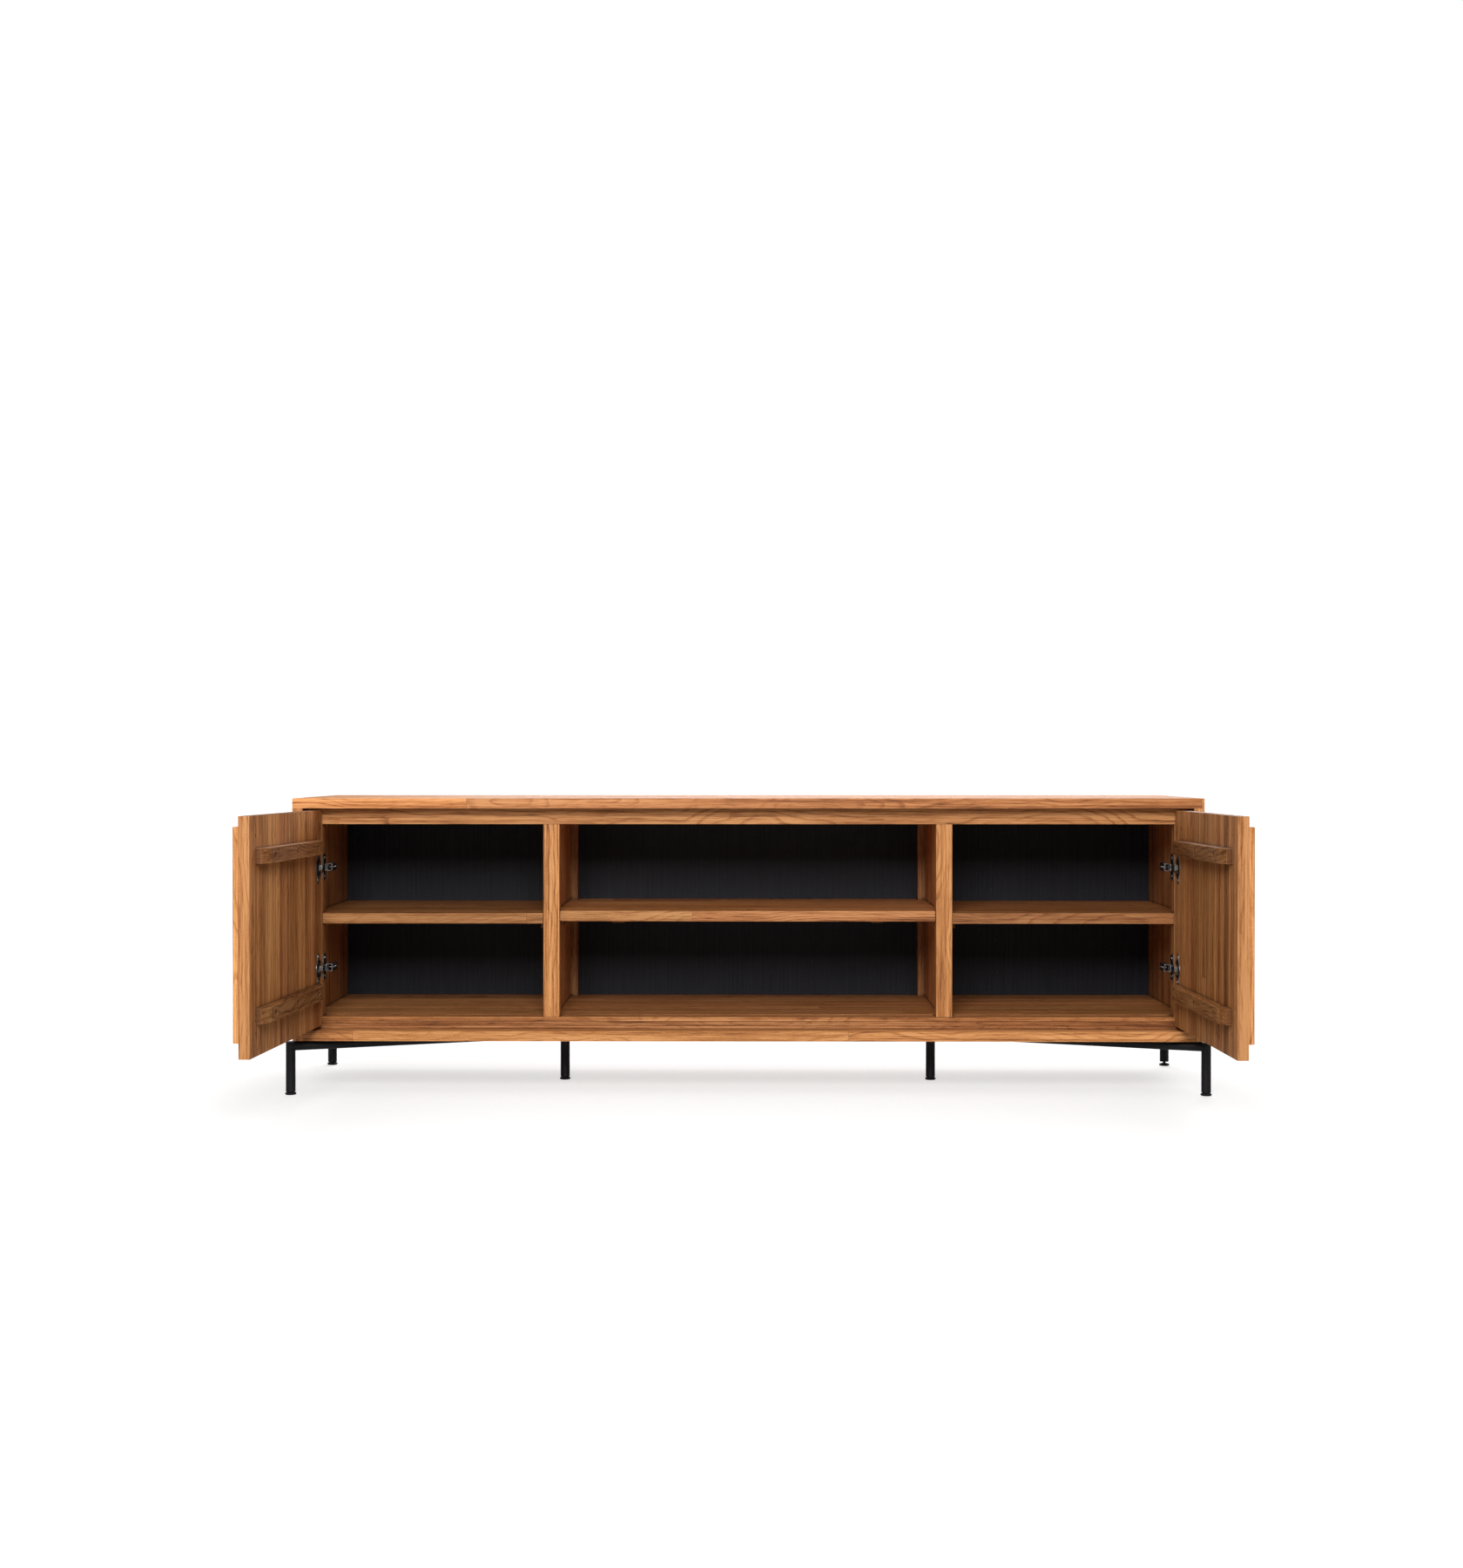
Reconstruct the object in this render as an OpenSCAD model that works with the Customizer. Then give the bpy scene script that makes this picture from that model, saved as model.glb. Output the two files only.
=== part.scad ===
// Low television stand: a wooden case on two three-legged steel frames, with an open
// middle bay and a door on concealed hinges at each end. Both doors are shown open.
//
// Plan positions are written from the case: x across it from its middle, y back from its
// front plane, z up from the floor. stand() carries that into the part's own frame, whose
// origin is on the floor under the middle of the whole outline, open doors included.

/* [Case] */
// Width of the case
case_w = 1800; // [1600:10:2000]
// Depth of the case
case_d = 450; // [420:5:520]
// Height of the whole stand
stand_h = 588; // [560:1:620]
// Height of the case's underside above the floor
leg_clear = 108; // [95:1:130]
// Thickness of the outer boards
board_t = 20; // [18:1:24]
// Thickness of the back panel
back_t = 6; // [4:1:9]
// How far the back panel sits inside the rear edge
back_inset = 12; // [0:1:20]

/* [Face frame and shelves] */
// How far the face frame sits behind the case's front plane
frame_setback = 36; // [36:1:44]
// Width and depth of the face frame's uprights
stile_w = 32; // [28:1:40]
// Height of the face frame's top rail
top_rail_h = 32; // [24:1:40]
// Height of the face frame's bottom rail
bottom_rail_h = 24; // [20:1:30]
// Distance between the inner uprights, which is the open bay's width
middle_bay_w = 750; // [640:10:860]
// Thickness of the shelves
shelf_t = 21; // [16:1:25]
// Height of the end shelves' top faces above the floor
shelf_z = 359; // [330:1:380]
// How much higher the middle shelf lies
middle_shelf_rise = 4; // [0:1:20]
// Thickness of the inner floor
floor_t = 16; // [12:1:18]

/* [Doors] */
// Thickness of a door's slab
slab_t = 20; // [18:1:20]
// Gap under a door
door_gap_bottom = 9; // [3:1:12]
// Gap over a door
door_gap_top = 4; // [2:1:8]
// Thickness of the boards laid on a door's front
field_t = 10; // [6:1:10]
// Number of boards laid on a door's front
field_boards = 8; // [4:1:12]
// Opening angle of the left door as it stands
left_open = 93; // [85:1:100]
// Opening angle of the right door as it stands
right_open = 91; // [85:1:100]

/* [Steel base] */
// Outer diameter of the steel tube
tube_d = 19; // [16:1:22]
// Wall of the steel tube
tube_wall = 1.5; // [1:0.5:2]
// Distance from the case's middle to a corner leg's axis
leg_x = 907; // [800:1:907]
// Distance from the case's front or rear plane to a corner leg's axis
leg_y = 15; // [12:1:40]
// Distance from the case's middle to a middle leg's axis
middle_leg_x = 380; // [300:10:450]
// Diameter of a levelling foot
foot_d = 22; // [20:1:26]
// Height of a levelling foot's pad
foot_h = 5; // [4:1:8]

/* [Hidden] */

$fn = 48;
eps = 0.01;          // overshoot of a cutting tool past a face
fit = 0.5;           // play between a loose board and its neighbours
teak = "#b9783f";
teak_dark = "#8f5a30";
panel_black = "#1d1c1e";
steel_black = "#1b1b1d";
nickel = "#b9b7b2";

// Levels in the case
deck_z = leg_clear + board_t;            // top of the bottom board
lid_z = stand_h - board_t;               // underside of the top board
sill_z = deck_z + bottom_rail_h;         // top of the bottom rail
head_z = lid_z - top_rail_h;             // underside of the top rail
floor_z = sill_z + 2;                    // top of the inner floor
inner_w = case_w - 2 * board_t;          // between the side boards

// Depths in the case
frame_back = frame_setback + stile_w;
back_face = case_d - back_inset - back_t;
cleat_d = 30;
cleat_front = back_face - cleat_d;
cleat_w = 16;
liner_t = 8;

// Dividers, behind the inner uprights
divider_t = 20;
divider_step = 9;                        // divider's face behind the upright's inner edge
divider_x = middle_bay_w / 2 + divider_step;

// A closed door, seen in plan at the left end of the case
hinge_gap = 4;
door_x = -inner_w / 2 + hinge_gap;
door_w = (inner_w - middle_bay_w) / 2 - hinge_gap - 3;
door_back = frame_setback - 3;           // inner face of the closed slab
door_z0 = deck_z + door_gap_bottom;
door_z1 = lid_z - door_gap_top;
door_mid_z = (door_z0 + door_z1) / 2;
field_edge = 28;                         // bare strip of slab at the hinge side
field_top = 19;
field_bottom = 28;
field_groove = 2;
field_ease = 1.5;

// Battens on the inner face of a door
batten_end = 38;
batten_h = 27;
batten_t = 20;
batten_tip_t = 10.5;                     // thickness at a bevelled end
batten_bevel = 30;
batten_offset = 142;                     // from the door's mid height
batten_holes = [-150, 0, 150];
counterbore_d = 12;
counterbore_h = 11;
screw_d = 4;

// Concealed hinges: the door turns about an axis inside its own front edge
hinge_offset = 100;                      // from the door's mid height
hinge_levels = [door_mid_z - hinge_offset, door_mid_z + hinge_offset];
axis_u = 10;
axis_v = 19;
axis_x = door_x + axis_u;
axis_y = door_back - axis_v;
cup_u = 25;
cup_d = 35;
cup_depth = 12;
cup_wall = 1;
flange_t = 1.2;
flange_reach = 31;
relief_w = 18;
relief_depth = 2.6;
link_pin_x = door_x + 36;                // pin that the links swing on
link_pin_y = door_back - 2;
link_swing = 54;                         // turn of the links over the reference opening
link_reference = 93;                     // opening at which the link shape is drawn
link_h = 9;
link_t = 1.5;
link_knee = [-3.7, -17.5];               // bend and cup end, measured from the pin
link_tip = [-9.6, -18.6];
pin_d = 2.4;
pin_play = 0.05;
plate_x = -(inner_w / 2 - stile_w);      // inner side of the end upright

// Steel base
plate_t = 2;
bar_z = leg_clear - plate_t - tube_d / 2;    // axis of the bars, under the plates
bore_d = tube_d - 2 * tube_wall;
front_y = leg_y;
rear_y = case_d - leg_y;
mid_y = case_d / 2;
bar_dx = leg_x - middle_leg_x;
bar_dy = mid_y - leg_y;
bar_len = norm([bar_dx, bar_dy]);
bar_turn = atan2(bar_dy, bar_dx);
foot_gap = 2;                            // pad to tube where a foot is screwed right in
foot_gap_out = 5;                        // the same where it is screwed out
stem_d = 6;
insert_h = 15;
insert_rim = 1;

// The outline's front end is the free edge of a door
function door_reach(open) =
    axis_y + (-axis_u * -sin(open) + axis_v * cos(open)) - door_w * sin(open);
case_front = -(case_d + min(door_reach(left_open), door_reach(right_open))) / 2;

module stand() {
    translate([0, case_front, 0])
        children();
}

module both_ends() {
    children();
    mirror([1, 0, 0])
        children();
}

// A board given by its lowest and highest corners
module board(low, high) {
    translate(low)
        cube(high - low);
}

module upright(x0, x1) {
    board([x0, frame_setback, sill_z], [x1, frame_back, head_z]);
}

// Case -------------------------------------------------------------------------------

dowel_d = 8;
dowel_len = 30;
dowel_sink = 18;                         // of an upright dowel in the side board
dowel_margin = 60;
dowel_ys = [for (k = [0:3]) dowel_margin + k * (case_d - 2 * dowel_margin) / 3];

// Dowels of the left end: upright ones under the top board, level ones at the bottom
module end_dowels(d) {
    for (y = dowel_ys) {
        translate([-(case_w - board_t) / 2, y, lid_z + dowel_len / 2 - dowel_sink])
            cylinder(d = d, h = dowel_len, center = true);
        translate([-inner_w / 2, y, leg_clear + board_t / 2])
            rotate([0, 90, 0])
                cylinder(d = d, h = dowel_len, center = true);
    }
}

module case_dowels() {
    color(teak)
        stand()
            both_ends()
                end_dowels(dowel_d - 0.1);
}

module top_board() {
    color(teak)
        stand()
            difference() {
                board([-case_w / 2, 0, lid_z], [case_w / 2, case_d, stand_h]);
                both_ends()
                    end_dowels(dowel_d);
            }
}

module bottom_board() {
    color(teak)
        stand()
            difference() {
                board([-inner_w / 2, 0, leg_clear], [inner_w / 2, case_d, deck_z]);
                both_ends()
                    end_dowels(dowel_d);
                base_fixings(screw_d, 14);
            }
}

module side_board() {
    difference() {
        board([-case_w / 2, 0, leg_clear], [-inner_w / 2, case_d, lid_z]);
        end_dowels(dowel_d);
    }
}

module left_side() {
    color(teak)
        stand()
            side_board();
}

module right_side() {
    color(teak)
        stand()
            mirror([1, 0, 0])
                side_board();
}

back_screw_zs = [floor_z + 30, (floor_z + lid_z) / 2, lid_z - 30];

// Screws through the back panel into the liners and the cleats
module back_screws(d, head_d) {
    both_ends()
        for (x = [inner_w / 2 - liner_t / 2, divider_x - cleat_w / 2], z = back_screw_zs)
            translate([-x, back_face + back_t, z])
                rotate([90, 0, 0]) {
                    cylinder(d = d, h = back_t + 12);
                    translate([0, 0, -2])
                        cylinder(d = head_d, h = 2);
                }
}

module back_panel() {
    color(panel_black)
        stand()
            difference() {
                board([-inner_w / 2, back_face, deck_z], [inner_w / 2, back_face + back_t, lid_z]);
                back_screws(3.2, 3.2);
            }
}

module back_panel_screws() {
    color(nickel)
        stand()
            back_screws(3, 7);
}

// A thin lining over the side board, from the face frame to the back panel
module liner() {
    difference() {
        board([-inner_w / 2, frame_back, floor_z], [-inner_w / 2 + liner_t, back_face, lid_z]);
        back_screws(3.2, 3.2);
    }
}

module left_liner() {
    color(teak_dark)
        stand()
            liner();
}

module right_liner() {
    color(teak_dark)
        stand()
            mirror([1, 0, 0])
                liner();
}

// Cleats behind the middle bay's corners, which the back panel is screwed to
module rear_cleats() {
    color(teak_dark)
        stand()
            difference() {
                both_ends()
                    board([-divider_x, cleat_front, floor_z],
                          [-divider_x + cleat_w, back_face, lid_z]);
                back_screws(3.2, 3.2);
            }
}

module top_rail() {
    color(teak)
        stand()
            board([-inner_w / 2, frame_setback, head_z], [inner_w / 2, frame_back, lid_z]);
}

module bottom_rail() {
    color(teak)
        stand()
            board([-inner_w / 2, frame_setback, deck_z], [inner_w / 2, frame_back, sill_z]);
}

// The left end upright carries both hinge plates
module end_stile() {
    difference() {
        upright(-inner_w / 2, plate_x);
        plate_screws(screw_d, screw_d);
    }
}

module left_end_stile() {
    color(teak)
        stand()
            end_stile();
}

module right_end_stile() {
    color(teak)
        stand()
            mirror([1, 0, 0])
                end_stile();
}

module left_inner_stile() {
    color(teak)
        stand()
            upright(-middle_bay_w / 2 - stile_w, -middle_bay_w / 2);
}

module right_inner_stile() {
    color(teak)
        stand()
            upright(middle_bay_w / 2, middle_bay_w / 2 + stile_w);
}

module divider() {
    board([-divider_x - divider_t, frame_back, floor_z], [-divider_x, back_face, lid_z]);
}

module left_divider() {
    color(teak_dark)
        stand()
            divider();
}

module right_divider() {
    color(teak_dark)
        stand()
            mirror([1, 0, 0])
                divider();
}

module inner_floor() {
    color(teak_dark)
        stand()
            board([-inner_w / 2, frame_back, floor_z - floor_t], [inner_w / 2, back_face, floor_z]);
}

floor_bearer_w = 30;
floor_bearer_pitch = 0.22 * case_w;

module floor_bearers() {
    color(teak_dark)
        stand()
            for (k = [-2:2], x = k * floor_bearer_pitch)
                board([x - floor_bearer_w / 2, frame_back, deck_z],
                      [x + floor_bearer_w / 2, back_face, floor_z - floor_t]);
}

// A shelf is narrow between the uprights, wide behind them, and notched round the cleats.
// Each pair is its left and right edge.
module shelf(front, low, high, frame_edges, panel_edges, cleat_edges) {
    translate([0, 0, low])
        linear_extrude(high - low)
            union() {
                translate([frame_edges[0], front])
                    square([frame_edges[1] - frame_edges[0], frame_back + fit - front]);
                translate([panel_edges[0], frame_back + fit])
                    square([panel_edges[1] - panel_edges[0], cleat_front - frame_back - 2 * fit]);
                translate([cleat_edges[0], cleat_front - fit - 1])
                    square([cleat_edges[1] - cleat_edges[0], cleat_d + 1]);
            }
}

module end_shelf() {
    edges = [-inner_w / 2 + liner_t + fit, -divider_x - divider_t - fit];
    shelf(frame_setback, shelf_z - shelf_t, shelf_z,
          [plate_x + fit, -middle_bay_w / 2 - stile_w - fit], edges, edges);
}

module left_shelf() {
    color(teak)
        stand()
            end_shelf();
}

module right_shelf() {
    color(teak)
        stand()
            mirror([1, 0, 0])
                end_shelf();
}

middle_shelf_z = shelf_z + middle_shelf_rise;

module middle_shelf() {
    bay = middle_bay_w / 2 - fit;
    wide = divider_x - fit;
    notched = wide - cleat_w;
    color(teak)
        stand()
            shelf(frame_setback + 4, middle_shelf_z - shelf_t, middle_shelf_z,
                  [-bay, bay], [-wide, wide], [-notched, notched]);
}

bearer = 12;

module shelf_bearers() {
    bearer_y = [frame_back + bearer, cleat_front - bearer];
    color(teak_dark)
        stand()
            both_ends() {
                for (x = [-inner_w / 2 + liner_t, -divider_x - divider_t - bearer])
                    board([x, bearer_y[0], shelf_z - shelf_t - bearer],
                          [x + bearer, bearer_y[1], shelf_z - shelf_t]);
                board([-divider_x, bearer_y[0], middle_shelf_z - shelf_t - bearer],
                      [-divider_x + bearer, bearer_y[1], middle_shelf_z - shelf_t]);
            }
}

// Battens across the underside of the middle shelf, which keep it flat
shelf_batten = [22, 280, 7];
shelf_batten_x = 262;
shelf_batten_front = 100;

module shelf_battens() {
    color(teak)
        stand()
            both_ends()
                translate([-shelf_batten_x - shelf_batten[0] / 2, shelf_batten_front,
                           middle_shelf_z - shelf_t - shelf_batten[2]])
                    cube(shelf_batten);
}

// Doors ------------------------------------------------------------------------------

// Turns what is drawn on the closed left door to where an open door stands
module swing(open) {
    translate([axis_x, axis_y, 0])
        rotate([0, 0, -open])
            translate([-axis_x, -axis_y, 0])
                children();
}

module left_door() {
    stand()
        swing(left_open)
            children();
}

module right_door() {
    stand()
        mirror([1, 0, 0])
            swing(right_open)
                children();
}

// Carries a tool to a point of the slab's inner face, pointing into the slab
module at_slab(u, z) {
    translate([door_x + u, door_back, z])
        rotate([90, 0, 0])
            children();
}

module batten_points() {
    for (side = [-1, 1], h = batten_holes)
        at_slab(door_w / 2 + h, door_mid_z + side * batten_offset)
            children();
}

// Screws near the corners of the slab hold the front boards from behind
board_screw_us = [52, door_w - 40];
board_screw_zs = [door_z0 + field_bottom + 12, door_z1 - field_top - 16];

module board_screw_points() {
    for (u = board_screw_us, z = board_screw_zs)
        at_slab(u, z)
            children();
}

module hinge_points() {
    for (z = hinge_levels)
        translate([0, 0, z])
            children();
}

flange_u = cup_u + 4;
ear_offset = 24;

module ear_points() {
    for (side = [-1, 1])
        translate([door_x + flange_u, door_back, side * ear_offset])
            rotate([90, 0, 0])
                children();
}

module door_slab() {
    difference() {
        board([door_x, door_back - slab_t, door_z0], [door_x + door_w, door_back, door_z1]);
        hinge_points() {
            at_slab(cup_u, 0)
                translate([0, 0, -eps])
                    cylinder(d = cup_d, h = cup_depth + eps);
            board([door_x - eps, door_back - relief_depth, -relief_w / 2],
                  [door_x + cup_u, door_back + eps, relief_w / 2]);
            ear_points()
                translate([0, 0, -eps])
                    cylinder(d = screw_d - 1, h = 10);
        }
        batten_points()
            translate([0, 0, -eps])
                cylinder(d = screw_d, h = 15);
        board_screw_points()
            translate([0, 0, -eps])
                cylinder(d = 6.5, h = 5);
        board_screw_points()
            cylinder(d = screw_d, h = slab_t + eps);
    }
}

module door_boards() {
    run = door_w - field_edge;
    pitch = (run + field_groove) / field_boards;
    w = pitch - field_groove;
    e = field_ease;
    front = door_back - slab_t - field_t;
    difference() {
        for (k = [0:field_boards - 1])
            translate([door_x + field_edge + k * pitch, front, door_z0 + field_bottom])
                linear_extrude(door_z1 - field_top - door_z0 - field_bottom)
                    polygon([[e, 0], [w - e, 0], [w, e], [w, field_t], [0, field_t], [0, e]]);
        board_screw_points()
            cylinder(d = screw_d, h = slab_t + 7);
    }
}

module door_battens() {
    long = door_w - 2 * batten_end;
    step = batten_t - batten_tip_t;
    difference() {
        for (side = [-1, 1])
            translate([door_x + batten_end, door_back, door_mid_z + side * batten_offset - batten_h / 2])
                linear_extrude(batten_h)
                    polygon([[0, 0], [long, 0], [long, batten_tip_t], [long - batten_bevel, batten_t],
                             [batten_bevel, batten_t], [0, batten_t - step]]);
        batten_points()
            translate([0, 0, -batten_t - eps]) {
                cylinder(d = counterbore_d, h = counterbore_h + eps);
                cylinder(d = screw_d + 0.5, h = batten_t + 2 * eps);
            }
    }
}

module countersunk(head_d, head_h, d, h) {
    cylinder(d = head_d, h = head_h);
    cylinder(d = d, h = h);
}

module door_screws() {
    batten_points()
        translate([0, 0, -batten_t + counterbore_h - 3])
            countersunk(8, 3, screw_d - 0.2, 22);
    board_screw_points()
        translate([0, 0, 2])
            countersunk(6, 2.5, screw_d - 0.2, 23);
    hinge_points()
        ear_points()
            translate([0, 0, -flange_t - 0.8])
                countersunk(6, 0.8, 2.8, 10);
}

// A steel cup let into the slab, with a flange that is screwed to the inner face
module hinge_cups() {
    hinge_points()
        difference() {
            union() {
                at_slab(cup_u, 0)
                    cylinder(d = cup_d - 0.1, h = cup_depth - 0.05);
                at_slab(cup_u, 0)
                    translate([0, 0, -flange_t])
                        cylinder(d = cup_d + 3, h = flange_t);
                at_slab(flange_u, -flange_reach + 5)
                    translate([-6.5, 0, -flange_t])
                        cube([13, 2 * flange_reach - 10, flange_t]);
                for (side = [-1, 1])
                    at_slab(flange_u, side * (flange_reach - 5))
                        translate([0, 0, -flange_t])
                            cylinder(d = 10, h = flange_t);
            }
            at_slab(cup_u, 0)
                translate([0, 0, -flange_t - eps])
                    cylinder(d = cup_d - 2 * cup_wall, h = cup_depth + flange_t - cup_wall);
            board([door_x - 5, door_back - relief_depth, -relief_w / 2],
                  [door_x + cup_u, door_back + flange_t + eps, relief_w / 2]);
            ear_points()
                translate([0, 0, -flange_t - eps])
                    cylinder(d = 3, h = flange_t + 2 * eps);
        }
}

function unit(v) = v / norm(v);
function square_to(v) = [-v[1], v[0]];

// A bent strip, seen in plan, with an eye for the pin at one end and a bead at the other
module link() {
    half = link_t / 2;
    n1 = square_to(unit(link_knee));
    n2 = square_to(unit(link_tip - link_knee));
    bend = (n1 + n2) / (1 + n1 * n2);
    difference() {
        union() {
            translate([0, 0, -link_h / 2])
                linear_extrude(link_h)
                    polygon([half * n1, link_knee + half * bend, link_tip + half * n2,
                             link_tip - half * n2, link_knee - half * bend, -half * n1]);
            cylinder(d = 5, h = link_h, center = true);
            translate([link_tip[0], link_tip[1], 0])
                cylinder(d = 2.4, h = link_h, center = true);
        }
        cylinder(d = pin_d + 2 * pin_play, h = link_h + 1, center = true);
    }
}

module hinge_links(open) {
    hinge_points()
        translate([link_pin_x, link_pin_y, 0])
            rotate([0, 0, link_swing * (open - link_reference) / link_reference])
                link();
}

arm_h = 15;
arm_wall = 1.5;
arm_x0 = plate_x + 8;
arm_x1 = plate_x + 20;
arm_y0 = frame_setback + 1;
arm_y1 = frame_setback + 46;

module hinge_pins() {
    hinge_points()
        translate([link_pin_x, link_pin_y, 0])
            cylinder(d = pin_d, h = arm_h - 1, center = true);
}

// A pressed channel, open towards the upright, with two ears for the links' pin
module hinge_arms() {
    ear_t = 1.6;
    ear_z = link_h / 2 + 0.3;
    hinge_points() {
        difference() {
            board([arm_x0, arm_y0, -arm_h / 2], [arm_x1, arm_y1, arm_h / 2]);
            board([arm_x0 - eps, arm_y0 - eps, -arm_h / 2 + arm_wall],
                  [arm_x1 - arm_wall, arm_y1 + eps, arm_h / 2 - arm_wall]);
            adjusting_screws(5.2);
        }
        for (side = [-1, 1])
            difference() {
                translate([0, 0, side * (ear_z + ear_t / 2)]) {
                    translate([link_pin_x, link_pin_y, 0])
                        cylinder(d = 5, h = ear_t, center = true);
                    translate([link_pin_x - 2.5, link_pin_y, -ear_t / 2])
                        cube([arm_x0 - link_pin_x + 5.5, arm_y0 + 6 - link_pin_y, ear_t]);
                }
                translate([link_pin_x, link_pin_y, 0])
                    cylinder(d = pin_d, h = arm_h + 2, center = true);
                board([arm_x0, arm_y0, side * arm_h / 2 - arm_wall],
                      [arm_x1, arm_y1, side * arm_h / 2 + arm_wall]);
            }
    }
}

module adjusting_screws(d) {
    for (y = [arm_y0 + 10, arm_y0 + 28])
        translate([arm_x1 - 7, y, 0])
            rotate([0, 90, 0])
                cylinder(d = d, h = 9);
}

plate_y0 = frame_setback + 3;
plate_y1 = frame_back - 3;
plate_screw_z = 18;

module plate_screws(d, head_d) {
    hinge_points()
        for (side = [-1, 1])
            translate([plate_x + 2, (plate_y0 + plate_y1) / 2, side * plate_screw_z])
                rotate([0, -90, 0]) {
                    cylinder(d = d, h = 16);
                    translate([0, 0, -1.2])
                        cylinder(d = head_d, h = 1.2);
                }
}

// A plate on the upright with a raised block that the arm is clamped to
module hinge_plates() {
    difference() {
        hinge_points() {
            board([plate_x, plate_y0, -25], [plate_x + 2, plate_y1, 25]);
            board([plate_x + 2, plate_y0, -4.5], [arm_x0 + 3, plate_y1, 4.5]);
        }
        plate_screws(screw_d, screw_d);
    }
}

module hinge_screws() {
    plate_screws(screw_d - 0.2, 7);
    hinge_points()
        adjusting_screws(5);
}

module left_door_slab() {
    color(teak)
        left_door()
            door_slab();
}

module left_door_boards() {
    color(teak)
        left_door()
            door_boards();
}

module left_door_battens() {
    color(teak_dark)
        left_door()
            door_battens();
}

module left_door_screws() {
    color(nickel)
        left_door()
            door_screws();
}

module left_hinge_cups() {
    color(nickel)
        left_door()
            hinge_cups();
}

module left_hinge_links() {
    color(nickel)
        stand()
            hinge_links(left_open);
}

module left_hinge_pins() {
    color(nickel)
        stand()
            hinge_pins();
}

module left_hinge_arms() {
    color(nickel)
        stand()
            hinge_arms();
}

module left_hinge_plates() {
    color(nickel)
        stand()
            hinge_plates();
}

module left_hinge_screws() {
    color(nickel)
        stand()
            hinge_screws();
}

module right_door_slab() {
    color(teak)
        right_door()
            door_slab();
}

module right_door_boards() {
    color(teak)
        right_door()
            door_boards();
}

module right_door_battens() {
    color(teak_dark)
        right_door()
            door_battens();
}

module right_door_screws() {
    color(nickel)
        right_door()
            door_screws();
}

module right_hinge_cups() {
    color(nickel)
        right_door()
            hinge_cups();
}

module right_hinge_links() {
    color(nickel)
        stand()
            mirror([1, 0, 0])
                hinge_links(right_open);
}

module right_hinge_pins() {
    color(nickel)
        stand()
            mirror([1, 0, 0])
                hinge_pins();
}

module right_hinge_arms() {
    color(nickel)
        stand()
            mirror([1, 0, 0])
                hinge_arms();
}

module right_hinge_plates() {
    color(nickel)
        stand()
            mirror([1, 0, 0])
                hinge_plates();
}

module right_hinge_screws() {
    color(nickel)
        stand()
            mirror([1, 0, 0])
                hinge_screws();
}

// Steel base -------------------------------------------------------------------------

// Upright tube, capped at the top, from just over its foot
module leg_tube(gap, top) {
    bottom = foot_h + gap;
    translate([0, 0, bottom])
        difference() {
            cylinder(d = tube_d, h = top - bottom);
            translate([0, 0, -eps])
                cylinder(d = bore_d, h = top - bottom - tube_wall);
        }
}

// Everything on the leg's side of a corner mitre, with the bar running along x
module leg_side() {
    reach = leg_clear + 2 * tube_d;
    translate([0, 0, bar_z])
        rotate([0, 45, 0])
            translate([-tube_d, -tube_d, -reach])
                cube([reach, 2 * tube_d, reach]);
}

// A corner leg is mitred to its bar, which heads for the middle leg
module corner_leg(y, turn, gap) {
    translate([-leg_x, y, 0])
        rotate([0, 0, turn])
            intersection() {
                leg_tube(gap, bar_z + tube_d);
                leg_side();
            }
}

// A bar from a corner leg's mitre to the middle leg. It keeps to its own half of the depth,
// which starts at low_y, so that it meets the other bar on the middle line.
module bar(y, turn, low_y) {
    spare = 0.75 * tube_d;                 // past the corner leg's axis, for the mitre
    long = bar_len + spare;
    difference() {
        intersection() {
            translate([-leg_x, y, 0])
                rotate([0, 0, turn])
                    difference() {
                        translate([-spare, 0, bar_z])
                            rotate([0, 90, 0])
                                difference() {
                                    cylinder(d = tube_d, h = long);
                                    translate([0, 0, -eps])
                                        cylinder(d = bore_d, h = long + 2 * eps);
                                }
                        leg_side();
                    }
            translate([-leg_x - tube_d, low_y, bar_z - tube_d])
                cube([bar_dx + 2 * tube_d, mid_y + tube_d, 2 * tube_d]);
        }
        translate([-middle_leg_x, mid_y, bar_z - tube_d])
            cylinder(d = tube_d + 2 * eps, h = 2 * tube_d);
    }
}

module middle_leg() {
    translate([-middle_leg_x, mid_y, 0])
        leg_tube(foot_gap, bar_z + tube_d / 2);
}

// Places along a bar that carry a fixing plate, from the corner leg
plate_stations = [70, bar_len - 130];
fixing_plate = [30, 60, plate_t];
fixing_reach = 21;

module on_bar(station, far) {
    translate([-leg_x, far ? rear_y : front_y, 0])
        rotate([0, 0, far ? -bar_turn : bar_turn])
            translate([station, 0, 0])
                children();
}

module base_fixings(d, h) {
    both_ends()
        for (far = [false, true], s = plate_stations, side = [-1, 1])
            on_bar(s, far)
                translate([0, side * fixing_reach, leg_clear - plate_t])
                    cylinder(d = d, h = h + plate_t);
}

module base_plates() {
    color(steel_black)
        stand()
            difference() {
                both_ends()
                    for (far = [false, true], s = plate_stations)
                        on_bar(s, far)
                            translate([0, 0, leg_clear - plate_t / 2])
                                cube(fixing_plate, center = true);
                base_fixings(5, 1);
            }
}

module base_screws() {
    color(steel_black)
        stand()
            both_ends()
                for (far = [false, true], s = plate_stations, side = [-1, 1])
                    on_bar(s, far)
                        translate([0, side * fixing_reach, leg_clear - plate_t - 2]) {
                            cylinder(d = 9, h = 2);
                            cylinder(d = screw_d - 0.2, h = 16);
                        }
}

module left_front_leg() {
    color(steel_black)
        stand()
            corner_leg(front_y, bar_turn, foot_gap);
}

module left_middle_leg() {
    color(steel_black)
        stand()
            middle_leg();
}

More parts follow.
